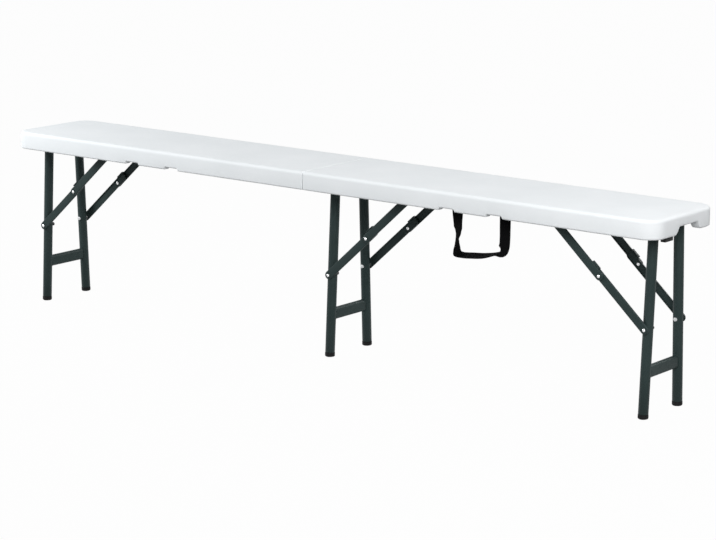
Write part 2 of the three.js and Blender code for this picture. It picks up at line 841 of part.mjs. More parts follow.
place(bench, "strap_loop", strapLoop(), blackWebbing);
place(bench, "strap_end_left", strapEnd(-1), blackWebbing);
place(bench, "strap_end_right", strapEnd(1), blackWebbing);
place(bench, "closing_catch", closingCatch(), blackPlastic);

export default bench;
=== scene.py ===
import math
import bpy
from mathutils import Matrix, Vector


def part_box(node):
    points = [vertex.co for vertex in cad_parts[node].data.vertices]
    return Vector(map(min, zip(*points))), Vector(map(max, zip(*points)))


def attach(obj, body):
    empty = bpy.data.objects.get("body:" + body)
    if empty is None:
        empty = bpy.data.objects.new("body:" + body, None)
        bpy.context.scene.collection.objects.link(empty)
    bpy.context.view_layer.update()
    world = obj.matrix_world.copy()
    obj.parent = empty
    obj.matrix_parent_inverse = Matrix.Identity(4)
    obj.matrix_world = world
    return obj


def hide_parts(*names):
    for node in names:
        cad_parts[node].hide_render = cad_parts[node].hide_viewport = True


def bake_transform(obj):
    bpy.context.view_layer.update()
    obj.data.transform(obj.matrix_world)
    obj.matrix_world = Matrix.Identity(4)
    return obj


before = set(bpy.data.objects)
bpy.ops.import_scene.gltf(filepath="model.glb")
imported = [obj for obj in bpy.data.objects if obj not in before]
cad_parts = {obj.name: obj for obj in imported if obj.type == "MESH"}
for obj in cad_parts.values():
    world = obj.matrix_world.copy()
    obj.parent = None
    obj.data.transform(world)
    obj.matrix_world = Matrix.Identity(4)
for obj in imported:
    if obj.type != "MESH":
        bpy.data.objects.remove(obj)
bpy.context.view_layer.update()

from types import SimpleNamespace

import bmesh
import bpy
from mathutils import Matrix, Vector

MM = 0.001
RIGHT, REAR, UP = Vector((1, 0, 0)), Vector((0, 1, 0)), Vector((0, 0, 1))
FORWARDS = -REAR


def mm(*values):
    """Lengths, or points of lengths, given in millimetres."""
    return [tuple(part * MM for part in value) if isinstance(value, tuple) else value * MM
            for value in values]


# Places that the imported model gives
seat_low, seat_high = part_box("seat_half_right")
TOP = seat_high.z
RIM_BOTTOM = seat_low.z
HALF_WIDTH = seat_high.y
SEAT_END = seat_high.x
SEAM_FACE = seat_low.x
catch_low, catch_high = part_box("closing_catch")
SETS = {}
for set_name, facing in (("left", 1), ("middle", 1), ("right", -1)):
    axle_low, axle_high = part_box(set_name + "_axle")
    SETS[set_name] = ((axle_low.x + axle_high.x) / 2, facing)
PIVOT_Z = (axle_low.z + axle_high.z) / 2

# Sizes that several pieces share
SLAB_THICK, TOUCH_GAP, CUT_OVERRUN = mm(14, 0.3, 0.4)
CEILING = TOP - SLAB_THICK
FITTING_TOP = CEILING - TOUCH_GAP
LEG_RADIUS, TUBE_WALL, AXLE_RADIUS = mm(11, 1.2, 8)
FOOT_SPREAD, TOP_SPREAD = HALF_WIDTH - 55.6 * MM, HALF_WIDTH - 74.6 * MM
LEAN = (FOOT_SPREAD - TOP_SPREAD) / PIVOT_Z
TILT = math.atan(LEAN)
STRAP_WIDTH, STRAP_THICK, STRAP_PITCH, STRAP_MIDDLE, STRAP_DROP = mm(28, 2, 124, 463, 101)
STRAP_XS = (STRAP_MIDDLE - STRAP_PITCH / 2, STRAP_MIDDLE + STRAP_PITCH / 2)


# Mesh helpers

def arc(radius, start, end, steps):
    """Points on a circle round the origin, between two angles in degrees."""
    angles = [math.radians(start + (end - start) * i / steps) for i in range(steps + 1)]
    return [(radius * math.cos(angle), radius * math.sin(angle)) for angle in angles]


def circle(u, v, radius, sides):
    """Offsets of a circle's points in the plane of two vectors."""
    return [(u * a + v * b) * radius for a, b in arc(1, 0, 360, sides)[:-1]]


def smoothstep(value, low, high):
    t = max(0.0, min(1.0, (value - low) / (high - low)))
    return t * t * (3 - 2 * t)


def loft(bm, rings, wrap=False, caps=False):
    """Skin over closed rings of equal count."""
    verts = [[bm.verts.new(p) for p in ring] for ring in rings]
    pairs = list(zip(verts, verts[1:]))
    if wrap:
        pairs.append((verts[-1], verts[0]))
    count = len(verts[0])
    for a, b in pairs:
        for i in range(count):
            j = (i + 1) % count
            bm.faces.new((a[i], a[j], b[j], b[i]))
    if caps:
        bm.faces.new(verts[0][::-1])
        bm.faces.new(verts[-1])
    return verts


def turned(bm, profile, origin, direction, sides=28):
    """Turned form; the profile is a closed or centre-to-centre list of (radius, place on the axis)."""
    axis = Vector(direction).normalized()
    u = axis.orthogonal().normalized()
    v = axis.cross(u)
    loft(bm, [[Vector(origin) + axis * place + offset for offset in circle(u, v, radius, sides)]
              for radius, place in profile])


def filleted(points, radius, steps=3, closed=False):
    """Rounds the corners of a chain of points."""
    out = []
    count = len(points)
    for i, point in enumerate(points):
        here = Vector(point)
        if not closed and i in (0, count - 1):
            out.append(here)
            continue
        before = Vector(points[i - 1]) - here
        after = Vector(points[(i + 1) % count]) - here
        start = here + before.normalized() * min(radius, before.length * 0.45)
        end = here + after.normalized() * min(radius, after.length * 0.45)
        for k in range(steps + 1):
            t = k / steps
            out.append(start * (1 - t) ** 2 + here * (2 * t * (1 - t)) + end * t * t)
    return out


def swept(bm, points, radius, sides=8):
    """Round bead along a closed chain of points."""
    count = len(points)
    rings = []
    for i, point in enumerate(points):
        along = (points[(i + 1) % count] - points[i - 1]).normalized()
        u = along.orthogonal().normalized()
        if rings:
            u = (last_u - along * last_u.dot(along)).normalized()
        last_u = u
        rings.append([point + offset for offset in circle(u, along.cross(u), radius, sides)])
    loft(bm, rings, wrap=True)


def extruded(bm, outline, origin, u, v, w, edge=0.0):
    """Flat outline in u and v, given thickness along the vector w, with its edges eased."""
    flat = [Vector(p) for p in outline]
    middle = sum(flat, Vector((0, 0))) / len(flat)

    def ring(share, inset):
        points = []
        for p in flat:
            towards = middle - p
            q = p + towards.normalized() * inset if towards.length > inset else p
            points.append(origin + u * q.x + v * q.y + w * share)
        return points

    if edge:
        ease = edge / w.length
        rings = [ring(0, edge), ring(ease, 0), ring(1 - ease, 0), ring(1, edge)]
    else:
        rings = [ring(0, 0), ring(1, 0)]
    loft(bm, rings, caps=True)


def block(bm, low, high, corner, steps, edge=0.0):
    """Upright block between two places, with round corners in plan."""
    plan = [(low[0], low[1]), (high[0], low[1]), (high[0], high[1]), (low[0], high[1])]
    extruded(bm, filleted(plan, corner, steps, True), UP * low[2], RIGHT, REAR, UP * (high[2] - low[2]), edge)


def joined_and_turned_out(bm):
    """Merges the points that coincide and turns all faces outwards."""
    bmesh.ops.remove_doubles(bm, verts=bm.verts, dist=1e-6)
    bmesh.ops.recalc_face_normals(bm, faces=bm.faces)


def bevelled(bm, width, angle=60):
    """Eases the edges of a form that are sharper than the angle."""
    joined_and_turned_out(bm)
    edges = [e for e in bm.edges if len(e.link_faces) == 2 and e.calc_face_angle(0) > math.radians(angle)]
    bmesh.ops.bevel(bm, geom=edges, offset=width, segments=2, profile=0.5, affect="EDGES", clamp_overlap=True)


def shaded(mesh, angle):
    """Smooth shading, broken where faces meet at more than the angle."""
    mesh.shade_smooth()
    mesh.set_sharp_from_angle(angle=math.radians(angle))


def mesh_object(name, bm, smooth_angle=35):
    joined_and_turned_out(bm)
    mesh = bpy.data.meshes.new(name)
    bm.to_mesh(mesh)
    bm.free()
    shaded(mesh, smooth_angle)
    piece = bpy.data.objects.new(name, mesh)
    bpy.context.scene.collection.objects.link(piece)
    return piece


def carved(piece, cutters):
    """Cuts one form out of another and keeps the result as plain mesh."""
    cutter = mesh_object(piece.name + "_cutter", cutters)
    modifier = piece.modifiers.new("cut", "BOOLEAN")
    modifier.operation = "DIFFERENCE"
    modifier.solver = "EXACT"
    modifier.object = cutter
    graph = bpy.context.evaluated_depsgraph_get()
    mesh = bpy.data.meshes.new_from_object(piece.evaluated_get(graph))
    piece.modifiers.clear()
    piece.data = mesh
    bpy.data.objects.remove(cutter)
    return piece


def dressed(piece, body, finish, replaces=()):
    """Gives a piece its material, its body and the nodes that it stands for."""
    material, slot = finish
    piece.data.materials.clear()
    piece.data.materials.append(material)
    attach(piece, body)
    if replaces:
        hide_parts(*replaces)


def build(name, body, finish, replaces, *forms, smooth_angle=35):
    """Makes one piece out of forms, each a function with what it takes after the mesh."""
    bm = bmesh.new()
    for form, *sizes in forms:
        form(bm, *sizes)
    dressed(mesh_object(name, bm, smooth_angle), body, finish, replaces)


# Materials

class Nodes:
    """A node material under construction."""

    def __init__(self, name):
        self.material = bpy.data.materials.new(name)
        self.material.use_nodes = True
        self.tree = self.material.node_tree
        self.tree.nodes.clear()
        self.out = self.add("ShaderNodeOutputMaterial")
        self.shader = self.add("ShaderNodeBsdfPrincipled")
        self.link(self.shader.outputs[0], self.out.inputs[0])
        self.place = self.add("ShaderNodeTexCoord").outputs["Object"]

    def add(self, kind, **values):
        node = self.tree.nodes.new(kind)
        for key, value in values.items():
            setattr(node, key, value)
        return node

    def link(self, a, b):
        self.tree.links.new(a, b)

    def set(self, **values):
        for key, value in values.items():
            self.shader.inputs[key.replace("_", " ")].default_value = value

    def noise(self, scale, detail=2.0, roughness=0.5, stretch=None):
        node = self.add("ShaderNodeTexNoise")
        node.inputs["Scale"].default_value = scale
        node.inputs["Detail"].default_value = detail
        node.inputs["Roughness"].default_value = roughness
        source = self.place
        if stretch:
            mapping = self.add("ShaderNodeMapping")
            mapping.inputs["Scale"].default_value = stretch
            self.link(source, mapping.inputs["Vector"])
            source = mapping.outputs[0]
        self.link(source, node.inputs["Vector"])
        return node.outputs["Fac"]

    def ramp(self, value, low, high, start=0.3, end=0.7):
        node = self.add("ShaderNodeValToRGB")
        node.color_ramp.elements[0].position = start
        node.color_ramp.elements[1].position = end
        node.color_ramp.elements[0].color = (*low, 1)
        node.color_ramp.elements[1].color = (*high, 1)
        self.link(value, node.inputs["Fac"])
        return node.outputs["Color"]

    def spread(self, value, low, high, start=0.3, end=0.7):
        node = self.add("ShaderNodeMapRange")
        for key, number in (("From Min", start), ("From Max", end), ("To Min", low), ("To Max", high)):
            node.inputs[key].default_value = number
        self.link(value, node.inputs["Value"])
        return node.outputs["Result"]

    def math(self, kind, a, b=None):
        node = self.add("ShaderNodeMath", operation=kind)
        for socket, value in zip(node.inputs, (a, b)):
            if value is None:
                continue
            if isinstance(value, (int, float)):
                socket.default_value = value
            else:
                self.link(value, socket)
        return node.outputs[0]

    def mix(self, factor, a, b, kind="MIX"):
        node = self.add("ShaderNodeMix", data_type="RGBA", blend_type=kind)
        for socket, value in ((node.inputs["Factor"], factor), (node.inputs[6], a), (node.inputs[7], b)):
            if isinstance(value, (int, float)):
                socket.default_value = value
            elif isinstance(value, tuple):
                socket.default_value = (*value, 1)
            else:
                self.link(value, socket)
        return node.outputs[2]

    def bump(self, height, distance, strength=1.0, under=None):
        node = self.add("ShaderNodeBump")
        node.inputs["Distance"].default_value = distance
        node.inputs["Strength"].default_value = strength
        self.link(height, node.inputs["Height"])
        if under:
            self.link(under, node.inputs["Normal"])
        return node.outputs["Normal"]

    def colour(self, value):
        self.link(value, self.shader.inputs["Base Color"])

    def rough(self, value):
        self.link(value, self.shader.inputs["Roughness"])

    def normal(self, value):
        self.link(value, self.shader.inputs["Normal"])


def white_plastic():
    n = Nodes("white_moulded_plastic")
    cloud = n.noise(5, 4, 0.55)
    base = n.ramp(cloud, (0.775, 0.80, 0.815), (0.825, 0.845, 0.86))
    specks = n.ramp(n.noise(420, 2, 0.6), (0.93, 0.93, 0.925), (1, 1, 1), 0.24, 0.34)
    n.colour(n.mix(0.6, base, specks, "MULTIPLY"))
    n.rough(n.spread(n.noise(60, 3), 0.52, 0.66))
    wave = n.bump(n.noise(14, 2, 0.4), 1.2 * MM, 0.35)
    grain = n.noise(1500, 3, 0.65)
    n.normal(n.bump(grain, 0.12 * MM, 0.55, wave))
    n.set(Specular_IOR_Level=0.04)
    return n.material


def frame_paint():
    n = Nodes("green_grey_powder_coat")
    cloud = n.noise(9, 4, 0.6)
    base = n.ramp(cloud, (0.020, 0.033, 0.0325), (0.029, 0.045, 0.044))
    scuff = n.noise(55, 6, 0.75, stretch=(1, 1, 0.25))
    n.colour(n.mix(n.spread(scuff, 0, 0.5, 0.63, 0.78), base, (0.048, 0.062, 0.061)))
    n.rough(n.spread(n.noise(120, 3), 0.36, 0.5))
    peel = n.bump(n.noise(620, 2, 0.5), 0.12 * MM, 0.5)
    n.normal(n.bump(n.noise(2600, 1), 0.03 * MM, 0.4, peel))
    n.set(Specular_IOR_Level=0.12)
    return n.material


def zinc_plate():
    n = Nodes("zinc_plated_sheet")
    cells = n.add("ShaderNodeTexVoronoi", feature="F1")
    cells.inputs["Scale"].default_value = 260
    n.link(n.place, cells.inputs["Vector"])
    tone = n.math("ADD", n.math("MULTIPLY", cells.outputs["Distance"], 0.5), n.noise(40, 4))
    n.colour(n.ramp(tone, (0.44, 0.45, 0.47), (0.60, 0.61, 0.61), 0.4, 0.95))
    n.rough(n.spread(n.noise(300, 4), 0.36, 0.56))
    n.normal(n.bump(n.noise(900, 2), 0.04 * MM, 0.4))
    n.set(Metallic=1.0)
    return n.material


def rivet_steel():
    n = Nodes("bright_rivet_steel")
    rings = n.noise(900, 3, 0.6, stretch=(1, 0.2, 1))
    n.colour(n.ramp(rings, (0.66, 0.67, 0.68), (0.86, 0.86, 0.86)))
    n.rough(n.spread(n.noise(500, 3), 0.2, 0.38))
    n.normal(n.bump(rings, 0.04 * MM, 0.4))
    n.set(Metallic=1.0)
    return n.material


def black_plastic(name, tone, roughness):
    n = Nodes(name)
    n.colour(n.ramp(n.noise(35, 4, 0.6), (tone, tone, tone * 1.08), (tone * 1.9, tone * 1.9, tone * 2)))
    n.rough(n.spread(n.noise(150, 3), roughness - 0.08, roughness + 0.08))
    n.normal(n.bump(n.noise(1800, 2), 0.06 * MM, 0.5))
    n.set(Specular_IOR_Level=0.15)
    return n.material


def black_webbing():
    """Twilled ribs and picks, laid out by the band's own UV map, which is in metres."""
    rib_pitch, pick_pitch = mm(2.4, 3)
    half_pick_turn = 1.57
    n = Nodes("black_woven_webbing")
    lay = n.add("ShaderNodeUVMap", uv_map="lay")
    parts = n.add("ShaderNodeSeparateXYZ")
    n.link(lay.outputs[0], parts.inputs[0])
    across = n.math("MULTIPLY", parts.outputs["X"], math.tau / rib_pitch)
    along = n.math("MULTIPLY", parts.outputs["Y"], math.tau / pick_pitch)
    ribs = n.math("ABSOLUTE", n.math("SINE", n.math("MULTIPLY", across, 0.5)))
    shift = n.math("MULTIPLY", n.math("SIGN", n.math("SINE", across)), half_pick_turn)
    picks = n.math("SINE", n.math("ADD", along, shift))
    weave = n.math("MULTIPLY", ribs, n.math("ADD", n.math("MULTIPLY", picks, 0.3), 0.7))
    fuzz = n.noise(2200, 3, 0.7)
    tone = n.math("ADD", n.math("MULTIPLY", weave, 0.8), n.math("MULTIPLY", fuzz, 0.3))
    n.colour(n.ramp(tone, (0.0012, 0.0012, 0.0014), (0.0055, 0.0055, 0.006), 0.25, 0.95))
    n.rough(n.spread(fuzz, 0.66, 0.86))
    n.normal(n.bump(weave, 0.4 * MM, 0.8, n.bump(fuzz, 0.1 * MM, 0.5)))
    n.set(Specular_IOR_Level=0.03)
    return n.material


# Each finish is a material and its slot.
PLASTIC = (white_plastic(), "seat_plastic")
COAT = (frame_paint(), "frame_coat")
ZINC = (zinc_plate(), "zinc_steel")
RIVET = (rivet_steel(), "rivet_zinc")
FOOT = (black_plastic("matt_black_foot", tone=0.0045, roughness=0.6), "foot_plastic")
CATCH = (black_plastic("black_catch", tone=0.005, roughness=0.48), "catch_plastic")
# The front pins' inner ends are zinc; this near-black finish is painted shade, standing in for the shadow
# they sit in inside the leg frame.
PIN_END_PAINTED_SHADE = (black_plastic("pin_end_painted_shade", tone=0.010, roughness=0.42), "rivet_zinc")
WEBBING = (black_webbing(), "webbing")


# Seat halves, modelled on the right side. The left one is mirrored.

END_WALL, SIDE_WALL, SEAM_WALL = mm(22, 20, 22)
END_CORNER, END_INNER_CORNER, SEAM_CORNER, SEAM_INNER_CORNER = mm(40, 24, 3, 8)
TOP_ROUND, TOP_FLAT, FOOT_ROUND, RIM_EDGE = mm(8, 5, 4.2, 2.5)
SEAM_ROUND, SEAM_FOOT = mm(1.5, 1)
DRAFT, CEILING_FILLET, CEILING_FLAT = mm(2, 3.5, 4)
NOTCH_ROOM, NOTCH_SHIFT, NOTCH_RAMP, NOTCH_EASE, NOTCH_DEPTH = mm(5, 4, 3, 0.4, 5.5)
NOTCH_HALF = STRAP_WIDTH / 2 + NOTCH_ROOM
NOTCHES = [(x - NOTCH_SHIFT - NOTCH_HALF, x - NOTCH_SHIFT + NOTCH_HALF) for x in STRAP_XS]
ARCH_FOOT, ARCH_CROWN, ARCH_SHIFT, ARCH_HEIGHT = mm(52, 34, 11, 16.5)
ARCH_STEPS = 10
HINGE_HALF, HINGE_STEP, HINGE_RELIEF, HINGE_FOOT = mm(82.5, 0.6, 2.6, 4.5)
DIMPLE_ROW, DIMPLE_MARGIN = mm(38, 120)
DIMPLES_PER_ROW = 6
DIMPLE_PROFILE = mm((0, -4), (13, -4), (13, -0.2), (11, 0.25), (9.6, 1.1), (8.8, 2.4), (6.2, 6.6), (5.2, 7.7),
                    (3.8, 8), (0, 8))
VENT_PLACE = (60 * MM, 40 * MM - HALF_WIDTH, CEILING)
VENT_PROFILE = mm((0, -4), (3, -4), (3, 6), (0, 6))
POCKET_GAP, POCKET_CORNER, POCKET_OVERRUN = mm(1.5, 2, 6)

# Plain stations before and after the notches, the arch and the hinge
SIDE_PLACES = (mm(90, 160, 240, 310, 360), mm(580, 640, 710, 780, 830))
END_PLACES = (mm(-81, -68, -55, -45), mm(67, 74, 81))
SEAM_PLACES = (mm(20, 55), mm(89.5, 97))


def front_lift(x):
    """Height of the rim's lower edge above its usual place, at the front."""
    for low, high in NOTCHES:
        if low - NOTCH_RAMP < x < high + NOTCH_RAMP:
            ramps = ((x - low + NOTCH_RAMP) / NOTCH_RAMP, (high + NOTCH_RAMP - x) / NOTCH_RAMP)
            return NOTCH_DEPTH * min(1, *ramps)
    return 0.0


def end_lift(y):
    """The same at the outer end, where the finger arch is."""
    share = (ARCH_FOOT - abs(y - ARCH_SHIFT)) / (ARCH_FOOT - ARCH_CROWN)
    return ARCH_HEIGHT * (1 - math.cos(max(0.0, min(1.0, share)) * math.pi)) / 2


def station(outer, inner, inwards, lift=0.0, top=(TOP_ROUND, TOP_ROUND), foot=(FOOT_ROUND, FOOT_ROUND)):
    """A place on the outline with its section through the rim; top and foot are rounds along X and Y."""
    inwards = Vector(inwards)
    return SimpleNamespace(outer=Vector(outer), inner=Vector(inner), inwards=inwards, lift=lift,
                           top_in=inwards * Vector(top), top_rise=max(top),
                           foot_in=inwards * Vector(foot), foot_rise=max(foot))


def seat_stations():
    """Stations round the half's outline: front, outer end, rear and seam face."""
    inner_end, inner_side, inner_seam = SEAT_END - END_WALL, HALF_WIDTH - SIDE_WALL, SEAM_FACE + SEAM_WALL
    side_xs = [inner_seam + SEAM_INNER_CORNER] + SIDE_PLACES[0]
    for low, high in NOTCHES:
        side_xs += [low - NOTCH_RAMP, low, low + NOTCH_EASE, (low + high) / 2]
        side_xs += [high - NOTCH_EASE, high, high + NOTCH_RAMP]
    side_xs += SIDE_PLACES[1] + [inner_end - END_INNER_CORNER]
    arch_side = [ARCH_FOOT - (ARCH_FOOT - ARCH_CROWN) * i / ARCH_STEPS for i in range(ARCH_STEPS + 1)]
    end_ys = END_PLACES[0] + [ARCH_SHIFT - y for y in arch_side]
    end_ys += [ARCH_SHIFT + ARCH_CROWN * share for share in (-0.5, 0, 0.5)]
    end_ys += [ARCH_SHIFT + y for y in arch_side[::-1]] + END_PLACES[1]
    seam_half = SEAM_PLACES[0] + [HINGE_HALF, HINGE_HALF + HINGE_STEP] + SEAM_PLACES[1]
    out = []

    def corner(s, quarter, at_seam):
        if at_seam:
            outer_radius, inner_radius, steps = SEAM_CORNER, SEAM_INNER_CORNER, 4
            outer_x, inner_x = SEAM_FACE + outer_radius, inner_seam + inner_radius
        else:
            outer_radius, inner_radius, steps = END_CORNER, END_INNER_CORNER, 14
            outer_x, inner_x = SEAT_END - outer_radius, inner_end - inner_radius
        for ray in arc(1, 90 * quarter, 90 * (quarter + 1), steps):
            outer = Vector((outer_x, s * (HALF_WIDTH - outer_radius))) + Vector(ray) * outer_radius
            inner = Vector((inner_x, s * (inner_side - inner_radius))) + Vector(ray) * inner_radius
            if at_seam:
                out.append(station(outer, inner, (1, -s), top=(SEAM_ROUND, TOP_ROUND),
                                   foot=(SEAM_FOOT, FOOT_ROUND)))
            else:
                out.append(station(outer, inner, -Vector(ray)))

    def side(s, xs):
        for x in xs:
            lift = front_lift(x) if s < 0 else 0.0
            out.append(station((x, s * HALF_WIDTH), (x, s * inner_side), (0, -s), lift))

    corner(-1, 2, True)
    side(-1, side_xs)
    corner(-1, 3, False)
    for y in end_ys:
        out.append(station((SEAT_END, y), (inner_end, y), (-1, 0), end_lift(y)))
    corner(1, 0, False)
    side(1, side_xs[::-1])
    corner(1, 1, True)
    for y in seam_half[::-1] + [-y for y in seam_half]:
        foot, lift = (HINGE_FOOT, HINGE_RELIEF) if abs(y) <= HINGE_HALF else (SEAM_FOOT, 0.0)
        out.append(station((SEAM_FACE, y), (inner_seam, y), (1, 0), lift,
                           top=(SEAM_ROUND, SEAM_ROUND), foot=(foot, foot)))
    return out


def seat_shell_form(bm):
    """Shell of one half, from the flat top round the foot of the rim and up to the ceiling inside."""
    places = seat_stations()
    rings = []

    def ring(where):
        rings.append([(*flat, z) for flat, z in map(where, places)])

    ring(lambda s: (s.outer + s.top_in + s.inwards * TOP_FLAT, TOP))
    for cos, sin in arc(1, 90, 0, 8):
        ring(lambda s: (s.outer + s.top_in * (1 - cos), TOP - s.top_rise * (1 - sin)))
    for cos, sin in arc(1, 0, 90, 5):
        ring(lambda s: (s.outer + s.foot_in * (1 - cos), RIM_BOTTOM + s.lift + s.foot_rise * (1 - sin)))
    for cos, sin in arc(1, 0, 90, 4):
        ring(lambda s: (s.inner - s.inwards * RIM_EDGE * (1 - sin),
                        RIM_BOTTOM + s.lift + RIM_EDGE * (1 - cos)))
    for cos, sin in arc(1, 0, 90, 5):
        ring(lambda s: (s.inner + s.inwards * (DRAFT + CEILING_FILLET * (1 - cos)),
                        CEILING - CEILING_FILLET * (1 - sin)))
    ring(lambda s: (s.inner + s.inwards * (DRAFT + CEILING_FILLET + CEILING_FLAT), CEILING))
    loft(bm, rings, caps=True)


def seat_half(name, has_pocket):
    """Shell with its kiss-off dimples, its vent and, in the left half, the pocket for the catch."""
    shell, cutters = bmesh.new(), bmesh.new()
    seat_shell_form(shell)
    for row in (-DIMPLE_ROW, DIMPLE_ROW):
        for i in range(DIMPLES_PER_ROW):
            x = DIMPLE_MARGIN + (SEAT_END - 2 * DIMPLE_MARGIN) * i / (DIMPLES_PER_ROW - 1)
            turned(cutters, DIMPLE_PROFILE, (x, row, CEILING), UP)
    turned(cutters, VENT_PROFILE, VENT_PLACE, UP, 20)
    if has_pocket:
        # The catch enters the shut left half as far as it stands out below the rim.
        pocket_top = 2 * RIM_BOTTOM - catch_low.z + POCKET_GAP
        block(cutters, (catch_low.x - POCKET_GAP, catch_low.y - POCKET_GAP, RIM_BOTTOM - POCKET_OVERRUN),
              (catch_high.x + POCKET_GAP, catch_high.y + POCKET_GAP, pocket_top), POCKET_CORNER, 3)
    return carved(mesh_object(name, shell), cutters)


for side_name in ("right", "left"):
    half = seat_half(f"seat_{side_name}_moulding", side_name == "left")
    if side_name == "left":
        half.data.transform(Matrix.Diagonal((-1, 1, 1, 1)))
        half.data.flip_normals()
    shaded(half.data, 38)
    dressed(half, f"{side_name}_half", PLASTIC, [f"seat_half_{side_name}"])


# Screws

PAN_RADIUS, PAN_HEIGHT, PAN_SINK, PAN_CROSS = mm(3.4, 1.9, 0.3, 0.9)
PAN_SHARES = [(1, 0.25), (0.94, 0.6), (0.78, 0.88), (0.45, 1), (0, 1.02)]
FLUSH_RADIUS, FLUSH_HEIGHT, FLUSH_SINK, FLUSH_CROSS = mm(3.2, 0.15, 1.2, 0.6)
CROSS_REACH_SHARE, CROSS_HALF_SHARE = 0.58, 0.13
FIRST_CROSS_TURN, NEXT_CROSS_TURN = 0.5, 0.9


def screws(name, body, places, radius=PAN_RADIUS, height=PAN_HEIGHT, flush=False, finish=ZINC):
    """Cross-head screws, each given by the middle of its seat, all facing down."""
    if flush:
        profile = [(0, -FLUSH_SINK), (radius * 0.6, -FLUSH_SINK), (radius, 0)]
        profile += [(radius * 0.96, height), (0, height)]
    else:
        profile = [(0, -PAN_SINK), (radius * 0.97, -PAN_SINK)]
        profile += [(radius * a, height * b) for a, b in PAN_SHARES]
    reach, half = radius * CROSS_REACH_SHARE, radius * CROSS_HALF_SHARE
    arm = [(reach, half), (half, half), (half, reach)]
    cross = [(a * c - b * s, a * s + b * c) for c, s in ((1, 0), (0, 1), (-1, 0), (0, -1)) for a, b in arm]
    depth = FLUSH_CROSS if flush else PAN_CROSS
    heads, slots = bmesh.new(), bmesh.new()
    for i, place in enumerate(places):
        turned(heads, profile, place, -UP, 24)
        angle = FIRST_CROSS_TURN + NEXT_CROSS_TURN * i
        u = Vector((math.cos(angle), math.sin(angle), 0))
        top = Vector(place) - UP * (height + CUT_OVERRUN)
        extruded(slots, cross, top, u, UP.cross(u), UP * (depth + CUT_OVERRUN))
    piece = carved(mesh_object(name, heads), slots)
    shaded(piece.data, 35)
    dressed(piece, body, finish)


# Leg frames

TUBE_SIDES = 40
TUBE_START, TUBE_EASE, COPE_GAP = mm(9.8, 0.5, 0.1)
TUBE_PLACES = mm(120, 240)
WELD_RADIUS, WELD_OFFSET, WELD_SHOULDER = mm(0.9, 0.8, 0.4)
FOOT_PROFILE = mm((0, -2), (8.8, -2), (8.9, 0), (10.2, 0.45), (11, 1.3), (11.4, 2.5), (11.4, 6.4),
                  (11.05, 6.8), (11.05, 7.2), (11.4, 7.6), (11.4, 9), (10.9, 9.5), (9.4, 9.5), (9.4, 24),
                  (0, 24))
STRETCHER_Z, STRETCHER_FLAT, STRETCHER_ROUND, STRETCHER_SINK = mm(98, 7, 7, 0.3)
STRETCHER_WELD_RADIUS, STRETCHER_WELD_OFFSET, STRETCHER_WELD_BACK = mm(1.25, 0.5, 0.2)
AXLE_EASE = 0.4 * MM
CLIP_THICK, CLIP_FLANGE, CLIP_HALF, CLIP_EDGE = mm(2, 15, 30, 0.35)
CLIP_BEND, CLIP_BEND_MIDDLE = mm(1.2, 0.35)
CLIP_SCREW_X, CLIP_SCREW_Y = mm(18.8, 20)


def leg_axis(x, s):
    """Foot point and direction of the leg at the front (-1) or the rear (1)."""
    return Vector((x, s * FOOT_SPREAD, 0)), Vector((0, -s * LEAN, 1)).normalized()


def leg_tube_form(bm, x, s):
    """Leg tube, coped to the axle at its top, with a weld bead there."""
    foot, axis = leg_axis(x, s)
    across = axis.cross(RIGHT)

    def ring(radius, place=0.0, mouth=0.0, shoulder=0.0):
        """Ring square to the tube at a place along it or, with a mouth, on a cylinder about the axle."""
        points = []
        for dx, dn in arc(radius, 0, 360, TUBE_SIDES)[:-1]:
            along = place
            if mouth:
                drop = math.sqrt(mouth ** 2 - dx ** 2) if abs(dx) < mouth else shoulder
                along = (PIVOT_Z - drop - dn * across.z) / axis.z
            points.append(foot + axis * along + RIGHT * dx + across * dn)
        return points

    outer, inner = LEG_RADIUS, LEG_RADIUS - TUBE_WALL
    cope = AXLE_RADIUS + COPE_GAP
    rings = [ring(outer - TUBE_EASE, TUBE_START), ring(outer, TUBE_START + TUBE_EASE)]
    rings += [ring(outer, place) for place in TUBE_PLACES]
    rings += [ring(outer, mouth=cope), ring(inner, mouth=cope)]
    rings += [ring(inner, TUBE_PLACES[1]), ring(inner, TUBE_START)]
    loft(bm, rings, wrap=True)
    swept(bm, ring(outer, mouth=AXLE_RADIUS + WELD_OFFSET, shoulder=WELD_SHOULDER), WELD_RADIUS)


def foot_form(bm, x, s):
    """Foot plug, cut flat at the floor."""
    foot, axis = leg_axis(x, s)
    turned(bm, FOOT_PROFILE, foot, axis, TUBE_SIDES)
    for vert in bm.verts:
        vert.co.z = max(vert.co.z, 0.0)


def stretcher_form(bm, x):
    """Oval tube between the two legs, with a weld bead at either end."""
    def ring(radius, s, extra=STRETCHER_SINK):
        section = [(a, STRETCHER_FLAT + b) for a, b in arc(radius, 0, 180, 14)]
        section += [(a, b - STRETCHER_FLAT) for a, b in arc(radius, 180, 360, 14)]
        points = []
        for dx, dz in section:
            z = STRETCHER_Z + dz
            reach = FOOT_SPREAD - LEAN * z - math.sqrt(LEG_RADIUS ** 2 - dx ** 2) / math.cos(TILT) + extra
            points.append(Vector((x + dx, s * reach, z)))
        return points

    outer, inner = STRETCHER_ROUND, STRETCHER_ROUND - TUBE_WALL
    loft(bm, [ring(outer, -1), ring(outer, 1), ring(inner, 1), ring(inner, -1)], wrap=True)
    for s in (-1, 1):
        swept(bm, ring(outer + STRETCHER_WELD_OFFSET, s, -STRETCHER_WELD_BACK), STRETCHER_WELD_RADIUS)


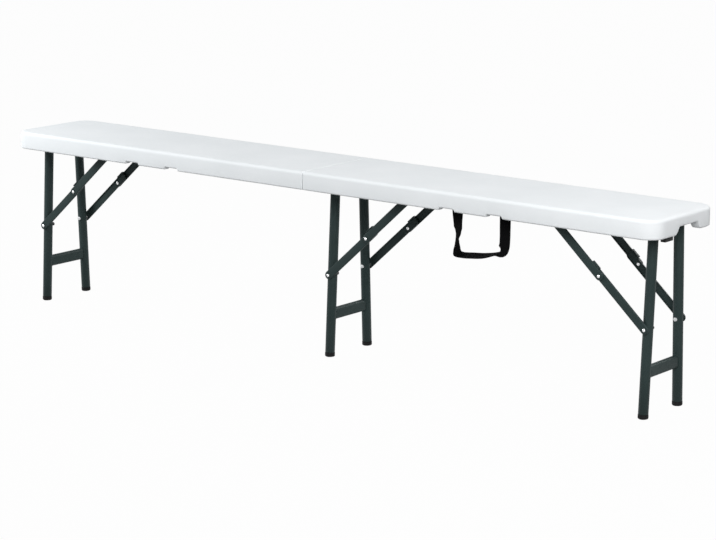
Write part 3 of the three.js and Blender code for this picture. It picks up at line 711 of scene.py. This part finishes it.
def axle_form(bm, x):
    """Tube across the top of a leg frame."""
    half, outer, inner = TOP_SPREAD + LEG_RADIUS, AXLE_RADIUS, AXLE_RADIUS - TUBE_WALL
    end = [(inner, half - AXLE_EASE), (inner + AXLE_EASE, half)]
    end += [(outer - AXLE_EASE, half), (outer, half - AXLE_EASE)]
    profile = [(radius, -place) for radius, place in end] + end[::-1] + [(inner, AXLE_EASE - half)]
    turned(bm, profile, (x, 0, PIVOT_Z), REAR, 40)


def clip_form(bm, x, facing):
    """Saddle clip over the axle, with its flange on the braced side."""
    inner, top = AXLE_RADIUS + TOUCH_GAP, FITTING_TOP - PIVOT_Z
    outer, under = inner + CLIP_THICK, top - CLIP_THICK
    outline = [(-inner, top), (-outer, top)] + arc(outer, 180, 360, 20)
    outline += [(outer, under - CLIP_BEND), (outer + CLIP_BEND_MIDDLE, under - CLIP_BEND_MIDDLE)]
    outline += [(outer + CLIP_BEND, under), (outer + CLIP_FLANGE, under), (outer + CLIP_FLANGE, top)]
    outline += [(inner + CLIP_BEND, top), (inner + CLIP_BEND_MIDDLE, top - CLIP_BEND_MIDDLE)]
    outline += [(inner, top - CLIP_BEND)] + arc(inner, 0, -180, 20)
    rings = [[Vector((x + facing * u, y, PIVOT_Z + v)) for u, v in outline] for y in (-CLIP_HALF, CLIP_HALF)]
    loft(bm, rings, caps=True)
    bevelled(bm, CLIP_EDGE)


# Braces. Distances across the bench are from its middle plane, profiles are (radius, place on the axis).

BRACE_REACH, PIN_Z = mm(237.3, 190)
BRACE_DROP = PIVOT_Z - PIN_Z
BRACE_LENGTH = math.hypot(BRACE_DROP, BRACE_REACH)
BRACE_ANGLE = math.atan2(BRACE_DROP, BRACE_REACH)
LOWER_LENGTH = (BRACE_LENGTH - (BRACE_REACH - BRACE_DROP)) / 2
UPPER_LENGTH = BRACE_LENGTH - LOWER_LENGTH
LINK_HALF, LINK_THICK, LINK_WALL, LINK_ROUND, LINK_EASE = mm(9.5, 4, 1.6, 1.9, 0.3)
LOWER_IN, PLATE_GAP, PLATE_THICK = mm(73.1, 0.5, 2.5)
LOWER_OUT = LOWER_IN + LINK_THICK
UPPER_IN = LOWER_OUT + TOUCH_GAP
UPPER_OUT = UPPER_IN + LINK_THICK
PLATE_IN = UPPER_OUT + PLATE_GAP
PLATE_OUT = PLATE_IN + PLATE_THICK
LOWER_TAIL, TAB_START, TAB_LENGTH, TAB_EDGE, TAB_FILLET = mm(35, 10, 22, 0.3, 0.7)
TAB_OUTLINE = mm((0.8, 8), (0.8, 12.3), (8.3, 12.3), (8.3, 10.3), (3.2, 10.3), (3.2, 8))
BRACKET_HALF, BRACKET_DROP, BRACKET_END, BRACKET_EDGE = mm(12, 9, 99.9, 0.4)
BRACKET_OUTER_BEND, BRACKET_INNER_BEND = mm(3.2, 1.2)
BRACKET_SCREW_X, BRACKET_SCREW_Y = mm(6.5, 93.5)
PIN_SEAT_GAP, RIVET_SEAT_GAP, KNEE_HEAD_DEPTH = mm(0.4, 0.5, 1.9)
RIVET_RADIUS, RIVET_HEIGHT, RIVET_SINK, RIVET_STEP = mm(3.6, 2.1, 0.2, 0.3)
RIVET_DOME = [(0, -RIVET_SINK), (RIVET_RADIUS * 0.96, -RIVET_SINK), (RIVET_RADIUS, RIVET_STEP)]
RIVET_DOME += [(RIVET_RADIUS * cos, RIVET_STEP + (RIVET_HEIGHT - RIVET_STEP) * sin)
               for cos, sin in arc(1, 0, 90, 7)[1:]]
LEG_RIVET_SHANK = mm((0, 0), (5, 0), (5, 3.5), (0, 3.5))
KNEE_RIVET_SHANK = mm((0, -1.9), (2, -1.8), (3.2, -1.4), (3.8, -0.7), (3.8, 0), (3, 0), (3, 6.8), (0, 6.8))
BOSS_PROFILE = mm((3, -0.4), (5.8, -0.4), (5.8, 0.3), (5.4, 0.8), (4.6, 1), (4, 0.8), (3.7, 0.4), (3, 0.4),
                  (3, -0.4))
COLLAR_PROFILE = mm((0, -1), (5.7, -1), (6, -0.7), (6, 0.7), (5.7, 0.9), (0, 0.9))
FRONT_PIN_END = mm((0, 2), (4.4, 2), (4.4, -5.5), (4, -6.9), (3, -7.7), (1.5, -8), (0, -8))
REAR_PIN_END = mm((0, 2), (4, 2), (4.4, 1), (4.4, -0.7), (3.9, -1.5), (2.4, -1.9), (0, -2))
STUB_PROFILE = mm((0, 0.2), (4.6, 0.2), (5, 0.6), (5, 2.1), (3, 2.1), (3, 5.6), (0, 5.6))
STUB_END_PROFILE = mm((0, -0.3), (4.6, -0.3), (4.6, 0.3), (3.8, 0.9), (2, 1.2), (0, 1.25))


def bracket_form(bm, pivot, out):
    """Angle bracket: a flange under the slab and a plate that comes down to the link's pivot."""
    top = FITTING_TOP - PIVOT_Z
    under = top - PLATE_THICK
    rings = []
    for cos, sin in arc(1, 180, 0, 22):
        low = -BRACKET_DROP * sin
        section = filleted([(PLATE_IN, low), (PLATE_IN, top), (BRACKET_END, top)], BRACKET_OUTER_BEND, 5)
        section += filleted([(BRACKET_END, under), (PLATE_OUT, under), (PLATE_OUT, low)],
                            BRACKET_INNER_BEND, 5)
        rings.append([pivot + RIGHT * BRACKET_HALF * cos + out * w + UP * v for w, v in section])
    loft(bm, rings, caps=True)
    bevelled(bm, BRACKET_EDGE)
    turned(bm, STUB_PROFILE, pivot + out * UPPER_IN, out)
    turned(bm, STUB_END_PROFILE, pivot + out * PLATE_OUT, out)


def channel_form(bm, origin, u, v, w, length):
    """Pressed channel with its web outboard and softly rounded outer edges."""
    def ring(inset, place):
        half = LINK_HALF - inset
        outline = [(length + a, b) for a, b in arc(half, -90, 90, 12)] + arc(half, 90, 270, 12)
        return [origin + u * a + v * b + w * place for a, b in outline]

    rings = [ring(LINK_WALL, LINK_THICK - LINK_WALL), ring(LINK_WALL, LINK_EASE)]
    rings += [ring(LINK_WALL - LINK_EASE, 0), ring(LINK_EASE, 0), ring(0, LINK_EASE)]
    rings += [ring(LINK_ROUND * (1 - cos), LINK_THICK - LINK_ROUND * (1 - sin))
              for cos, sin in arc(1, 0, 90, 6)]
    loft(bm, rings, caps=True)


def leg_set(name):
    """One leg frame with its braces, and the brackets and clip that hold them to the seat."""
    x, facing = SETS[name]
    legs, uppers, lowers = f"{name}_legs", f"{name}_upper_links", f"{name}_lower_links"
    half = "left_half" if name == "left" else "right_half"
    along = Vector((facing * math.cos(BRACE_ANGLE), 0, math.sin(BRACE_ANGLE)))
    across = Vector((-facing * math.sin(BRACE_ANGLE), 0, math.cos(BRACE_ANGLE)))
    pin = Vector((x, 0, PIN_Z))
    knee = pin + along * LOWER_LENGTH
    anchor = Vector((x + facing * BRACE_REACH, 0, PIVOT_Z))
    tube_middle = FOOT_SPREAD - PIN_Z * LEAN
    tube_reach = LEG_RADIUS / math.cos(TILT) + PIN_SEAT_GAP

    for side, s in (("front", -1), ("rear", 1)):
        out = Vector((0, s, 0))
        lower_face = pin + out * LOWER_IN
        build(f"{name}_tube_{side}", legs, COAT, [f"{name}_leg_{side}"],
              (leg_tube_form, x, s), smooth_angle=50)
        build(f"{name}_plug_{side}", legs, FOOT, [f"{name}_foot_{side}"], (foot_form, x, s))
        build(f"{name}_pin_collar_{side}", legs, RIVET, [f"{name}_leg_pin_{side}"],
              (turned, COLLAR_PROFILE, pin + out * (tube_middle + tube_reach), out))
        # Front pin ends take the near-black finish that paints shade on their zinc; the rear ends show plain
        # zinc.
        end_profile, end_finish = (FRONT_PIN_END, PIN_END_PAINTED_SHADE) if side == "front" else (REAR_PIN_END, ZINC)
        build(f"{name}_pin_end_{side}", legs, end_finish, [],
              (turned, end_profile, pin + out * (tube_middle - tube_reach), out))
        build(f"{name}_lower_brace_{side}", lowers, COAT, [f"{name}_lower_link_{side}"],
              (channel_form, lower_face, along, across, out, LOWER_LENGTH + LOWER_TAIL - LINK_HALF),
              (extruded, filleted(TAB_OUTLINE, TAB_FILLET, 3, True),
               lower_face + along * (LOWER_LENGTH + TAB_START), out, across, along * TAB_LENGTH, TAB_EDGE),
              (turned, BOSS_PROFILE, pin + out * LOWER_OUT, out))
        build(f"{name}_leg_rivet_{side}", lowers, RIVET, [],
              (turned, RIVET_DOME, pin + out * (LOWER_OUT + RIVET_SEAT_GAP), out),
              (turned, LEG_RIVET_SHANK, lower_face, out))
        build(f"{name}_upper_brace_{side}", uppers, COAT, [f"{name}_upper_link_{side}"],
              (channel_form, anchor + out * UPPER_IN, -along, -across, out, UPPER_LENGTH),
              (turned, BOSS_PROFILE, knee + out * UPPER_OUT, out))
        build(f"{name}_knee_rivet_{side}", uppers, RIVET, [f"{name}_brace_rivet_{side}"],
              (turned, RIVET_DOME, knee + out * (UPPER_OUT + RIVET_SEAT_GAP), out),
              (turned, KNEE_RIVET_SHANK, knee + out * (LOWER_OUT - KNEE_HEAD_DEPTH), out))
        build(f"{name}_angle_bracket_{side}", half, COAT, [f"{name}_brace_bracket_{side}"],
              (bracket_form, anchor, out))
        screws(f"{name}_bracket_screws_{side}", half,
               [(anchor.x + dx, s * BRACKET_SCREW_Y, FITTING_TOP - PLATE_THICK)
                for dx in (-BRACKET_SCREW_X, BRACKET_SCREW_X)])

    build(f"{name}_cross_stretcher", legs, COAT, [f"{name}_stretcher"], (stretcher_form, x), smooth_angle=50)
    build(f"{name}_cross_axle", legs, COAT, [f"{name}_axle"], (axle_form, x))
    build(f"{name}_saddle_clip", half, ZINC, [f"{name}_axle_clip"], (clip_form, x, facing))
    screws(f"{name}_clip_screws", half,
           [(x + facing * CLIP_SCREW_X, y, FITTING_TOP - CLIP_THICK) for y in (-CLIP_SCREW_Y, CLIP_SCREW_Y)])


for set_name in SETS:
    leg_set(set_name)


# Hinge

LEAF_HALF, LEAF_WIDTH, LEAF_THICK, LEAF_FILLET = mm(80, 20, 2, 0.25)
LEAF_BOTTOM = RIM_BOTTOM + TOUCH_GAP
KNUCKLES = 5
KNUCKLE_RADIUS, KNUCKLE_BORE, KNUCKLE_GAP, KNUCKLE_EASE = mm(4, 2.1, 0.2, 0.3)
OWN_REACH, OTHER_REACH = mm(1.5, 5)
LEAF_SCREW_XS = mm(15, 11)
LEAF_SCREW_COUNT = 6
LEAF_SCREW_FIRST, LEAF_SCREW_PITCH = mm(-68, 27.2)
HINGE_PIN_END = mm((1.8, 80.3), (3, 80.3), (3, 81.2), (2.2, 81.8), (0, 81.8))


def hinge_leaf_form(bm, side, has_outer_knuckles):
    """Leaf with every other knuckle; its edge steps back from the knuckles of the other leaf."""
    pitch = 2 * LEAF_HALF / KNUCKLES
    r, ease = KNUCKLE_RADIUS, KNUCKLE_EASE
    outline = [(side * LEAF_WIDTH, LEAF_HALF), (side * LEAF_WIDTH, -LEAF_HALF)]
    for i in range(KNUCKLES):
        a, b = i * pitch - LEAF_HALF + KNUCKLE_GAP, (i + 1) * pitch - LEAF_HALF - KNUCKLE_GAP
        is_own = (i % 2 == 0) == has_outer_knuckles
        if is_own:
            turned(bm, [(KNUCKLE_BORE, a), (r - ease, a), (r, a + ease), (r, b - ease), (r - ease, b),
                        (KNUCKLE_BORE, b), (KNUCKLE_BORE, a)], UP * RIM_BOTTOM, REAR, 32)
        reach = side * (OWN_REACH if is_own else OTHER_REACH)
        outline += [(reach, a), (reach, b)]
    extruded(bm, filleted(outline, LEAF_FILLET, 1, True), UP * LEAF_BOTTOM, RIGHT, REAR, UP * LEAF_THICK)


for side_name, side_sign, has_outer_knuckles in (("right", 1, False), ("left", -1, True)):
    build(f"{side_name}_leaf", f"{side_name}_half", ZINC, [f"hinge_leaf_{side_name}"],
          (hinge_leaf_form, side_sign, has_outer_knuckles))
    screws(f"{side_name}_leaf_screws", f"{side_name}_half",
           [(side_sign * LEAF_SCREW_XS[i % 2], LEAF_SCREW_FIRST + i * LEAF_SCREW_PITCH, LEAF_BOTTOM)
            for i in range(LEAF_SCREW_COUNT)], FLUSH_RADIUS, FLUSH_HEIGHT, flush=True, finish=RIVET)

hinge_pin_profile = [(radius, -place) for radius, place in HINGE_PIN_END[::-1]] + HINGE_PIN_END
build("hinge_pin_bar", "right_half", RIVET, ["hinge_pin"], (turned, hinge_pin_profile, UP * RIM_BOTTOM, REAR))


# Closing catch

CATCH_CORNER, CATCH_EDGE = mm(2, 0.7)
build("catch_bar", "right_half", CATCH, ["closing_catch"],
      (block, catch_low, catch_high, CATCH_CORNER, 4, CATCH_EDGE))


# Carrying strap

STRAP_Y = 38 * MM - HALF_WIDTH + STRAP_THICK / 2
STRAP_Z = RIM_BOTTOM + 1 * MM
STRAP_END_GAP, STRAP_TAB, STRAP_BEND, STRAP_EDGE, STRAP_CUP = mm(0.15, 13.5, 3.2, 0.5, 4.5)
STRAP_STEPS = 96
# Shares of the pitch and of the drop along the loop, from its left end to its right end
ROUTE_SHARES = [(0, 0), (0, 0.1), (0.004, 0.25), (0.008, 0.42), (-0.003, 0.6), (-0.018, 0.78),
                (-0.022, 0.9), (0, 0.98), (0.06, 1), (0.18, 0.985), (0.34, 0.965), (0.5, 0.945),
                (0.65, 0.912), (0.78, 0.868), (0.885, 0.82), (0.957, 0.755), (0.99, 0.66), (1, 0.5),
                (1, 0.25), (1, 0)]
# Share of the length and the turn there in degrees: flat to the rim at -90 and 90, edge forwards at 0
TURN_SHARES = [(0, -90), (0.13, -74), (0.165, -60), (0.21, -40), (0.25, -22), (0.3, -4), (0.345, 12),
               (0.45, 16), (0.56, 15), (0.69, 8), (0.748, 86), (1, 90)]
# Shares of the length over which the cup comes and goes
CUP_COMES, CUP_GOES = (0.1, 0.2), (0.32, 0.42)


def curve_through(points, steps):
    """Centripetal Catmull-Rom curve, sampled at equal lengths."""
    dense, steps_per_span = [], 24
    for i in range(len(points) - 1):
        p1, p2 = points[i], points[i + 1]
        p0 = points[i - 1] if i else p1 * 2 - p2
        p3 = points[i + 2] if i + 2 < len(points) else p2 * 2 - p1
        d0, d1, d2 = (p1 - p0).length ** 0.5, (p2 - p1).length ** 0.5, (p3 - p2).length ** 0.5
        t1 = ((p1 - p0) / d0 - (p2 - p0) / (d0 + d1) + (p2 - p1) / d1) * d1
        t2 = ((p2 - p1) / d1 - (p3 - p1) / (d1 + d2) + (p3 - p2) / d2) * d1
        for k in range(steps_per_span):
            t = k / steps_per_span
            dense.append(p1 * (2 * t ** 3 - 3 * t ** 2 + 1) + t1 * (t ** 3 - 2 * t ** 2 + t)
                         + p2 * (3 * t ** 2 - 2 * t ** 3) + t2 * (t ** 3 - t ** 2))
    dense.append(points[-1])
    lengths = [0.0]
    for a, b in zip(dense, dense[1:]):
        lengths.append(lengths[-1] + (b - a).length)
    out, j = [], 0
    for i in range(steps + 1):
        want = lengths[-1] * i / steps
        while j < len(dense) - 2 and lengths[j + 1] < want:
            j += 1
        share = (want - lengths[j]) / (lengths[j + 1] - lengths[j])
        out.append(dense[j].lerp(dense[j + 1], share))
    return out


def strap_turn(share):
    for (start, before), (end, after) in zip(TURN_SHARES, TURN_SHARES[1:]):
        if share <= end:
            return math.radians(before + (after - before) * smoothstep(share, start, end))
    return math.pi / 2


def strap_anchor(x):
    """The sewn-down end: from its tab under the slab round to the pivot line."""
    z = FITTING_TOP - STRAP_THICK / 2
    return filleted([(x, STRAP_Y - STRAP_TAB, z), (x, STRAP_Y, z), (x, STRAP_Y, STRAP_Z)], STRAP_BEND, 6)


def strap_section():
    """Outline of the band: its two faces, with the edges drawn in a little."""
    half, thick, edge = STRAP_WIDTH / 2, STRAP_THICK / 2, STRAP_THICK * 0.2
    run = [STRAP_EDGE - half + (STRAP_WIDTH - 2 * STRAP_EDGE) * i / 6 for i in range(7)]
    return ([(-half, -edge)] + [(a, -thick) for a in run] + [(half, -edge), (half, edge)]
            + [(a, thick) for a in run[::-1]] + [(-half, edge)])


def strap_form(bm):
    """The webbing with both its ends, as one band; gives back its length."""
    lay = bm.loops.layers.uv.new("lay")
    loop_top = STRAP_Z - STRAP_END_GAP
    loop = curve_through([Vector((STRAP_XS[0] + a * STRAP_PITCH, STRAP_Y, loop_top - b * STRAP_DROP))
                          for a, b in ROUTE_SHARES], STRAP_STEPS)
    first, last = strap_anchor(loop[0].x), strap_anchor(loop[-1].x)
    centres = first + loop[1:-1] + last[::-1]
    section = strap_section()
    rings, places, length = [], [], 0.0
    for i, centre in enumerate(centres):
        before, after = centres[max(0, i - 1)], centres[min(len(centres) - 1, i + 1)]
        along = (after - before).normalized()
        length += (centre - before).length
        share = (i - len(first)) / STRAP_STEPS
        wide = RIGHT
        if len(first) <= i < len(centres) - len(last):
            angle = strap_turn(share + 1 / STRAP_STEPS)
            wide = along.cross(FORWARDS) * math.sin(angle) + FORWARDS * math.cos(angle)
        wide = (wide - along * wide.dot(along)).normalized()
        thin = along.cross(wide)
        cup = STRAP_CUP * smoothstep(share, *CUP_COMES) * (1 - smoothstep(share, *CUP_GOES))
        rings.append([centre + wide * a + thin * (b + cup * (0.5 - (2 * a / STRAP_WIDTH) ** 2))
                      for a, b in section])
        places.append(length)
    verts = loft(bm, rings)
    lay_of = {vert: (a, place) for ring, place in zip(verts, places) for vert, (a, _) in zip(ring, section)}
    for face in bm.faces:
        for corner in face.loops:
            corner[lay].uv = lay_of[corner.vert]
    bm.faces.new(verts[0][::-1])
    bm.faces.new(verts[-1])
    return length


strap_mesh = bmesh.new()
strap_length = strap_form(strap_mesh)
strap = mesh_object("webbing_strap", strap_mesh, 50)
strap.data.materials.append(WEBBING[0])
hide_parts("strap_loop", "strap_end_left", "strap_end_right")
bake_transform(strap)

# Plates and screws that hold the webbing's ends
CLAMP_HALF_X, CLAMP_HALF_Y, CLAMP_BACK, CLAMP_THICK, CLAMP_CORNER, CLAMP_EDGE = mm(11.5, 5, 8, 1.2, 1.5, 0.3)
CLAMP_SCREW_X, CLAMP_SCREW_RADIUS, CLAMP_SCREW_HEIGHT = mm(6.5, 2.6, 1.5)
clamp_top, clamp_y = FITTING_TOP - STRAP_THICK, STRAP_Y - CLAMP_BACK
for i, x in enumerate(STRAP_XS):
    build(f"strap_plate_{i}", "right_half", ZINC, [],
          (block, (x - CLAMP_HALF_X, clamp_y - CLAMP_HALF_Y, clamp_top - CLAMP_THICK),
           (x + CLAMP_HALF_X, clamp_y + CLAMP_HALF_Y, clamp_top), CLAMP_CORNER, 3, CLAMP_EDGE))
    screws(f"strap_screws_{i}", "right_half",
           [(x + dx, clamp_y, clamp_top - CLAMP_THICK) for dx in (-CLAMP_SCREW_X, CLAMP_SCREW_X)],
           CLAMP_SCREW_RADIUS, CLAMP_SCREW_HEIGHT)


# Camera, at the place that the photograph was taken from

CAMERA_PLACE = (3.33945, -4.22165, 1.34959)
YAW, PITCH, ROLL = 0.65991, 0.21315, 0.0067
view = Vector((-math.sin(YAW) * math.cos(PITCH), math.cos(YAW) * math.cos(PITCH), -math.sin(PITCH)))
level_right = Vector((math.cos(YAW), math.sin(YAW), 0))
level_up = level_right.cross(view)
camera_right = level_right * math.cos(ROLL) + level_up * math.sin(ROLL)
camera_up = level_up * math.cos(ROLL) - level_right * math.sin(ROLL)
camera = bpy.data.objects.new("camera", bpy.data.cameras.new("camera"))
camera.data.sensor_width = 36
camera.data.lens = 120.55
camera.data.clip_end = 60
facing_view = Matrix((camera_right, camera_up, -view)).transposed().to_4x4()
camera.matrix_world = Matrix.Translation(CAMERA_PLACE) @ facing_view
bpy.context.scene.collection.objects.link(camera)
bpy.context.scene.camera = camera


# Light, floor and background

def area_light(name, place, target, size, power, colour=(1, 1, 1)):
    light = bpy.data.lights.new(name, "AREA")
    light.shape = "RECTANGLE"
    light.size, light.size_y = size
    light.energy = power
    light.color = colour
    lamp = bpy.data.objects.new(name, light)
    lamp.location = place
    lamp.rotation_euler = (Vector(target) - Vector(place)).to_track_quat("-Z", "Y").to_euler()
    bpy.context.scene.collection.objects.link(lamp)


area_light("overhead", place=(0.75, 0.2, 3.6), target=(0.3, 0, 0.4), size=(3.2, 2.4), power=27)
area_light("front_left", place=(-2.2, -1.28, 1.35), target=(-0.75, 0, 0.38), size=(1.0, 0.8), power=50,
           colour=(0.97, 0.99, 1.0))
area_light("front_right", place=(2.17, -1.67, 1.72), target=(0.5, 0, 0.38), size=(1.6, 1.2), power=65)
area_light("behind", place=(1.0, 3.2, 1.8), target=(0, 0, 0.35), size=(1.6, 1.0), power=40)


def seen_white(tree):
    """1 for rays that show the background: from the camera, in gloss and through glass."""
    path = tree.nodes.new("ShaderNodeLightPath")
    total = path.outputs["Is Camera Ray"]
    for ray in ("Is Glossy Ray", "Is Transmission Ray"):
        add = tree.nodes.new("ShaderNodeMath")
        add.operation = "MAXIMUM"
        tree.links.new(total, add.inputs[0])
        tree.links.new(path.outputs[ray], add.inputs[1])
        total = add.outputs[0]
    return total


def background(tree, colour, strength):
    node = tree.nodes.new("ShaderNodeBackground")
    node.inputs["Color"].default_value = (*colour, 1)
    node.inputs["Strength"].default_value = strength
    return node.outputs[0]


world = bpy.data.worlds.new("studio")
bpy.context.scene.world = world
world.use_nodes = True
tree = world.node_tree
tree.nodes.clear()
ambient = background(tree, (0.95, 0.98, 1.0), 0.12)
white = background(tree, (1, 1, 1), 1.0)
mix = tree.nodes.new("ShaderNodeMixShader")
world_out = tree.nodes.new("ShaderNodeOutputWorld")
tree.links.new(seen_white(tree), mix.inputs[0])
tree.links.new(ambient, mix.inputs[1])
tree.links.new(white, mix.inputs[2])
tree.links.new(mix.outputs[0], world_out.inputs[0])

FLOOR_HALF = 12
FLOOR_DROP = 0.4 * MM
FLOOR_WHITE_SHARE = 0.978
floor_mesh = bmesh.new()
bmesh.ops.create_grid(floor_mesh, x_segments=8, y_segments=8, size=FLOOR_HALF)
floor = mesh_object("floor", floor_mesh)
floor.location.z = -FLOOR_DROP
n = Nodes("pale_floor")
n.colour(n.ramp(n.noise(3, 3), (0.32, 0.32, 0.32), (0.35, 0.35, 0.35)))
n.rough(n.spread(n.noise(30, 2), 0.75, 0.85))
n.set(Specular_IOR_Level=0.1)
glow = n.add("ShaderNodeEmission")
glow.inputs["Strength"].default_value = 1.0
blend = n.add("ShaderNodeMixShader")
n.link(n.math("MULTIPLY", seen_white(n.tree), FLOOR_WHITE_SHARE), blend.inputs[0])
n.link(n.shader.outputs[0], blend.inputs[1])
n.link(glow.outputs[0], blend.inputs[2])
n.link(blend.outputs[0], n.out.inputs[0])
floor.data.materials.append(n.material)

bpy.context.scene.view_settings.view_transform = "Standard"
